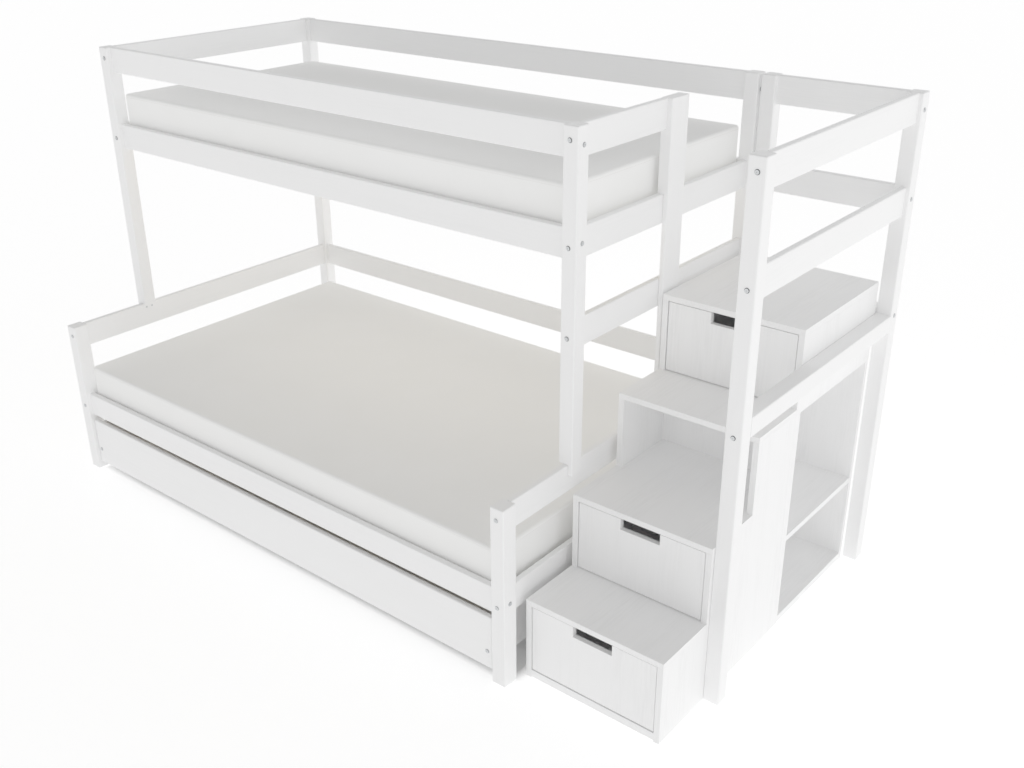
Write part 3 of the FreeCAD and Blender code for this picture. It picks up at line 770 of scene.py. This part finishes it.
@dataclass
class Mattress:
    """A foam mattress in a sewn cover, slightly puffed up, with soft edges and two seams."""

    name: str
    node: str
    body: str = "frame"
    start_inset: float = 1.5 * MM
    cap: float = 2.5 * MM
    cell: float = 38.0 * MM
    edge: float = 10.0 * MM
    corner: float = 14.0 * MM
    rows_mm: tuple[float, ...] = (0.0, 2.5, 5.0, 8.0, 12.0, 18.0, 27.0, 40.0, 60.0)
    pressure: float = 4.0
    quality: int = 4  # solver steps in each frame
    frames: int = 20
    seam_drop: float = 13.0 * MM
    seam_steps: int = 6  # points less one round a corner
    stitch_pitch: float = 7.0 * MM
    stitch_length: float = 4.5 * MM
    thread_radius: float = 0.45 * MM

    def build(self, palette: Palette) -> list[bpy.types.Object]:
        """Puffs up the cover, closes its edges with stitches and takes the node's place."""
        cover = self._blank()
        self._puff(cover)
        self._seat(cover)
        finer = cover.modifiers.new("finer", "SUBSURF")
        finer.levels = finer.render_levels = 1
        settle(cover)
        smooth(cover.data)
        cover.data.materials.clear()
        cover.data.materials.append(palette.cover)
        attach(cover, self.body)
        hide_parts(self.node)
        pieces = [cover]
        for label, path in self._seam_paths():
            seam = Scatter(f"{self.name}_{label}_stitches", palette.thread).stitches(
                path, cover, self.stitch_pitch, self.stitch_length, self.thread_radius)
            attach(seam, self.body)
            pieces.append(seam)
        return pieces

    def _lines(self, low: float, high: float) -> list[float]:
        """Returns grid lines between two ends, close together near each of them."""
        middle = (low + high) / 2.0
        near = [row * MM for row in self.rows_mm if low + row * MM < middle - self.cell / 4.0]
        first, last = low + near[-1], high - near[-1]
        count = max(1, round((last - first) / self.cell))
        inner = [first + (last - first) * step / count for step in range(1, count)]
        return ([low + row for row in near] + inner + [high - row for row in reversed(near)])

    def _blank(self) -> bpy.types.Object:
        """Makes the cover as sewn: a grid on all six sides, its edges and corners rounded."""
        low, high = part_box(self.node)
        low = low + Vector((self.start_inset,) * 3)
        high = high - Vector((self.start_inset,) * 3)
        lines = [self._lines(low[axis], high[axis]) for axis in range(3)]
        work = bmesh.new()
        made: dict[tuple[int, int, int], bmesh.types.BMVert] = {}

        def vert(key: tuple[int, int, int]) -> bmesh.types.BMVert:
            """Returns the grid's vertex at three line numbers, made once."""
            if key not in made:
                spot = Vector([lines[axis][key[axis]] for axis in range(3)])
                made[key] = work.verts.new(self._rounded(spot, low, high))
            return made[key]

        for axis in range(3):
            first, second = (number for number in range(3) if number != axis)
            for end in (0, len(lines[axis]) - 1):
                for row in range(len(lines[first]) - 1):
                    for column in range(len(lines[second]) - 1):
                        corners = []
                        for step_row, step_column in ((0, 0), (1, 0), (1, 1), (0, 1)):
                            key = [0, 0, 0]
                            key[axis] = end
                            key[first] = row + step_row
                            key[second] = column + step_column
                            corners.append(vert((key[0], key[1], key[2])))
                        work.faces.new(corners)
        bmesh.ops.recalc_face_normals(work, faces=work.faces)
        mesh = bpy.data.meshes.new(self.name)
        work.to_mesh(mesh)
        work.free()
        return mesh_object(self.name, mesh)

    def _rounded(self, spot: Vector, low: Vector, high: Vector) -> Vector:
        """Moves a point of a plain box to a box with round corners and round edges."""
        core = spot.copy()
        plan = self.corner
        for axis in range(2):
            core[axis] = min(max(spot[axis], low[axis] + plan), high[axis] - plan)
        flat = Vector((spot.x - core.x, spot.y - core.y, 0.0))
        reach = max(abs(flat.x), abs(flat.y))
        if flat.length > TINY:
            flat = flat.normalized() * reach
        planned = Vector((core.x + flat.x, core.y + flat.y, spot.z))
        soft = self.edge
        inner = planned.copy()
        inner.z = min(max(spot.z, low.z + soft), high.z - soft)
        outward = flat.copy()
        limit = plan - soft
        if outward.length > limit:
            over = outward.length - limit
            inner -= outward.normalized() * over
        away = planned - inner
        deep = max(abs(away.z), Vector((away.x, away.y, 0.0)).length)
        if away.length > TINY:
            away = away.normalized() * deep
        return inner + away

    def _puff(self, cover: bpy.types.Object) -> None:
        """Lets air pressure round the cover, and limits how far any point may move."""
        before = [vert.co.copy() for vert in cover.data.vertices]
        cloth = cover.modifiers.new("cloth", "CLOTH")
        cloth.settings.use_pressure = True
        cloth.settings.uniform_pressure_force = self.pressure
        cloth.settings.effector_weights.gravity = 0.0
        cloth.settings.quality = self.quality
        cloth.collision_settings.use_collision = False
        cloth.point_cache.frame_start = 1
        cloth.point_cache.frame_end = self.frames
        scene = bpy.context.scene
        for step in range(1, self.frames + 1):
            scene.frame_set(step)
        settle(cover)
        scene.frame_set(1)
        for vert, start in zip(cover.data.vertices, before):
            move = vert.co - start
            if move.length > self.cap:
                vert.co = start + move.normalized() * self.cap

    def _seat(self, cover: bpy.types.Object) -> None:
        """Keeps every point inside the room the node has, flat on the slats."""
        low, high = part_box(self.node)
        for vert in cover.data.vertices:
            for axis in range(3):
                vert.co[axis] = min(max(vert.co[axis], low[axis]), high[axis])

    def _seam_paths(self) -> list[tuple[str, list[Point]]]:
        """Returns the closed lines of the top and the bottom seam, just outside the cover."""
        low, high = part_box(self.node)
        paths = []
        for label, level in (("top", high.z - self.seam_drop), ("bottom", low.z + self.seam_drop)):
            points: list[Point] = []
            for corner in range(4):
                sign_x = 1.0 if corner in (0, 3) else -1.0
                sign_y = 1.0 if corner in (0, 1) else -1.0
                edge_x = high.x if sign_x > 0 else low.x
                edge_y = high.y if sign_y > 0 else low.y
                for step in range(self.seam_steps + 1):
                    angle = math.radians(90.0 * corner + 90.0 / self.seam_steps * step)
                    points.append((edge_x - sign_x * self.corner + self.corner * math.cos(angle),
                                   edge_y - sign_y * self.corner + self.corner * math.sin(angle),
                                   level))
            paths.append((label, points))
        return paths


@dataclass
class StairCabinet:
    """The stepped cabinet with its three drawers and open shelves."""

    upright: tuple[str, ...] = (
        "stair_side_left", "stair_side_right", "stair_back", "stair_partition",
        "drawer_low", "drawer_middle", "drawer_high",
    )
    flat: tuple[str, ...] = (
        "stair_tread_1", "stair_tread_2", "stair_tread_3", "stair_tread_4",
        "stair_floor", "stair_shelf",
    )

    def dress(self, palette: Palette) -> list[bpy.types.Object]:
        """Paints the boards: grain upright on sides and fronts, front to back on the treads."""
        return (dress(self.upright, palette.board[Axis.Z])
                + dress(self.flat, palette.board[Axis.Y]))


@dataclass
class Trundle:
    """The roll-out drawer under the lower bunk, on four castors."""

    body: str = "trundle"
    long_boards: tuple[str, ...] = ("trundle_front", "trundle_back", "trundle_base")
    side_boards: tuple[str, ...] = ("trundle_side_left", "trundle_side_right")
    corners: tuple[str, ...] = ("front_left", "back_left", "front_right", "back_right")
    rib_count: int = 12
    rib_radius: float = 0.9 * MM
    dish_share: float = 0.15  # depth of a wheel's dish, of its width
    rib_middle: float = 0.535  # middle and length of a rib, of the wheel's radius
    rib_length: float = 0.38

    def dress(self, palette: Palette) -> list[bpy.types.Object]:
        """Paints the boards and gives the castors their metal and nylon."""
        return (
            dress(self.long_boards, palette.rail[Axis.X])
            + dress(self.side_boards, palette.rail[Axis.Y])
            + dress(["castor_brackets", "trundle_bolts"], palette.steel)
            + dress([f"trundle_wheel_{corner}" for corner in self.corners], palette.nylon)
        )

    def build(self, palette: Palette) -> list[bpy.types.Object]:
        """Makes the washers on the front board and the ribs on the dished wheel faces."""
        washers = BoltWashers("trundle_washers", "trundle_bolts", self.body).build(palette)
        return washers + [self._ribs(corner, palette) for corner in self.corners]

    def _ribs(self, corner: str, palette: Palette) -> bpy.types.Object:
        """Makes the radial ribs between the hub and the rim of one wheel, on both faces."""
        low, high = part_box(f"trundle_wheel_{corner}")
        centre = (low + high) / 2.0
        radius = (high.z - low.z) / 2.0
        dish = (high.x - low.x) * self.dish_share
        places = []
        for side in (low.x + dish, high.x - dish):
            for index in range(self.rib_count):
                angle = 2.0 * math.pi * index / self.rib_count
                way = Vector((0.0, math.cos(angle), math.sin(angle)))
                spot = Vector((side, centre.y, centre.z)) + way * radius * self.rib_middle
                places.append((spot, way))
        ribs = Scatter(f"wheel_ribs_{corner}", palette.nylon).bars(
            places, radius * self.rib_length, self.rib_radius)
        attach(ribs, f"wheel_{corner}")
        return ribs


# ---------------------------------------------------------------------------- studio


@dataclass
class Studio:
    """Pale floor, even soft light and the camera at the photograph's place."""

    floor_size: float = 300.0
    floor_tone: str = "#f4f4f4"
    floor_glow: float = 0.52
    shade_edge: float = 0.03
    bounces: int = 8
    display_gamma: float = 1.39
    sky_band: Span = (0.25, 0.8)
    sky_strength: Span = (0.86, 0.36)
    sky_tilt: Point = (0.12, 0.32, 0.0)
    camera_place: Point = (2.43571, -2.61097, 2.17194)
    azimuth: float = 39.2861
    elevation: float = 25.1965
    roll: float = -0.3332
    lens: float = 39.7601
    sensor: float = 36.0
    lamp_place: Point = (7.5, -1.0, 1.6)
    lamp_target: Point = (0.6, 0.0, 0.7)
    lamp_size: float = 5.0
    lamp_power: float = 25.0

    def build(self) -> list[bpy.types.Object]:
        """Makes the floor, the world, the lamp and the camera."""
        scene = bpy.context.scene
        scene.view_settings.view_transform = "Standard"
        scene.view_settings.gamma = self.display_gamma
        scene.cycles.diffuse_bounces = self.bounces
        self._world(scene)
        self._lamp(scene)
        self._camera(scene)
        return [self._floor()]

    def _lamp(self, scene: bpy.types.Scene) -> None:
        """Makes one wide soft lamp, as a window at the side of the stairs."""
        light = bpy.data.lights.new("side_window", "AREA")
        light.shape = "SQUARE"
        light.size = self.lamp_size
        light.energy = self.lamp_power
        lamp = bpy.data.objects.new("side_window", light)
        scene.collection.objects.link(lamp)
        lamp.location = self.lamp_place
        aim = Vector(self.lamp_target) - Vector(self.lamp_place)
        lamp.rotation_euler = aim.to_track_quat("-Z", "Y").to_euler()

    def _world(self, scene: bpy.types.Scene) -> None:
        """Makes a pale surround: lighter near the horizon, and lighter to one side."""
        world = bpy.data.worlds.new("studio_surround")
        world.use_nodes = True
        tree = world.node_tree
        tree.nodes.clear()
        place = add_node(tree, "ShaderNodeTexCoord")
        parts = add_node(tree, "ShaderNodeSeparateXYZ", inputs={0: place.outputs["Generated"]})
        strength = remap(tree, parts.outputs["Z"], self.sky_band, self.sky_strength)
        side = add_node(tree, "ShaderNodeVectorMath", {"operation": "DOT_PRODUCT"}, {
            0: place.outputs["Generated"], 1: self.sky_tilt})
        tilted = calculate(tree, "MULTIPLY_ADD", side.outputs["Value"], strength, strength)
        glow = add_node(tree, "ShaderNodeBackground", inputs={
            "Color": (1.0, 1.0, 1.0, 1.0), "Strength": tilted})
        add_node(tree, "ShaderNodeOutputWorld", inputs={0: glow.outputs[0]})
        scene.world = world

    def _floor(self) -> bpy.types.Object:
        """Makes the floor: matt seamless paper that glows a little, as on a light table."""
        mesh = bpy.data.meshes.new("studio_floor")
        half = self.floor_size / 2.0
        mesh.from_pydata([(-half, -half, 0.0), (half, -half, 0.0), (half, half, 0.0),
                          (-half, half, 0.0)], [], [(0, 1, 2, 3)])
        floor = mesh_object("studio_floor", mesh)
        material, tree, place = start_material("seamless_white_paper")
        # The paper doesn't glow under the bed and the stairs: the dark below them is kept.
        bed_low, cabinet_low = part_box("lower_rail_front")[0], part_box("stair_side_left")[0]
        bed_high, cabinet_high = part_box("lower_guard_right")[1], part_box("stair_back")[1]
        glow = calculate(
            tree, "MINIMUM",
            self._outside(tree, place, bed_low, Vector((cabinet_low.x, bed_high.y, 0.0))),
            self._outside(tree, place, Vector((bed_high.x, cabinet_low.y, 0.0)), cabinet_high))
        end_material(tree, {
            "Base Color": linear(self.floor_tone), "Roughness": 0.9, "Specular IOR Level": 0.1,
            "Emission Color": (1.0, 1.0, 1.0, 1.0), "Emission Strength": glow})
        floor.data.materials.append(material)
        return floor

    def _outside(self, tree: bpy.types.NodeTree, place: bpy.types.NodeSocket, low: Vector,
                 high: Vector) -> bpy.types.NodeSocket:
        """Returns the glow of the paper: full outside a rectangle of the plan, none inside."""
        middle, half = (low + high) / 2.0, (high - low) / 2.0
        away = add_node(tree, "ShaderNodeVectorMath", {"operation": "SUBTRACT"}, {
            0: place, 1: tuple(middle)})
        parts = add_node(tree, "ShaderNodeSeparateXYZ", inputs={0: away.outputs[0]})
        sides = []
        for label, reach in (("X", half.x), ("Y", half.y)):
            distance = calculate(tree, "ABSOLUTE", parts.outputs[label])
            sides.append(remap(tree, distance, (reach - self.shade_edge, reach),
                               (0.0, self.floor_glow)))
        return calculate(tree, "MAXIMUM", *sides)

    def _camera(self, scene: bpy.types.Scene) -> None:
        """Makes the camera with the place, direction and roll solved from the photograph."""
        turn, tilt, roll = (math.radians(angle)
                            for angle in (self.azimuth, self.elevation, self.roll))
        forward = Vector((-math.sin(turn) * math.cos(tilt), math.cos(turn) * math.cos(tilt),
                          -math.sin(tilt)))
        right = Vector((math.cos(turn), math.sin(turn), 0.0))
        up = right.cross(forward)
        rolled_right = right * math.cos(roll) + up * math.sin(roll)
        rolled_up = up * math.cos(roll) - right * math.sin(roll)
        axes = Matrix((rolled_right, rolled_up, -forward)).transposed()
        lens = bpy.data.cameras.new("photo_camera")
        lens.lens = self.lens
        lens.sensor_width = self.sensor
        lens.sensor_fit = "HORIZONTAL"
        camera = bpy.data.objects.new("photo_camera", lens)
        camera.matrix_world = Matrix.Translation(Vector(self.camera_place)) @ axes.to_4x4()
        scene.collection.objects.link(camera)
        scene.camera = camera


def main() -> None:
    """Dresses the bed part by part and sets up the studio."""
    logging.basicConfig(level=logging.INFO, format="%(name)s %(message)s")
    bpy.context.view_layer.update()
    palette = Palette()
    studio = Studio()
    studio.build()
    bed = BedFrame()
    report("bed frame", bed.dress(palette) + bed.build(palette))
    cabinet = StairCabinet()
    report("stair cabinet", cabinet.dress(palette))
    trundle = Trundle()
    report("trundle", trundle.dress(palette) + trundle.build(palette))
    dress(["slat_cleats"], palette.cleat)
    for bunk in ("lower", "upper"):
        dress([f"{bunk}_slats"], palette.slat)
        base = SlatBase(f"{bunk}_slat", f"{bunk}_slats")
        report(f"{bunk} slats", base.build(palette))
        mattress = Mattress(f"{bunk}_mattress_cover", f"{bunk}_mattress")
        report(f"{bunk} mattress", mattress.build(palette))


if __name__ == "__main__":
    main()
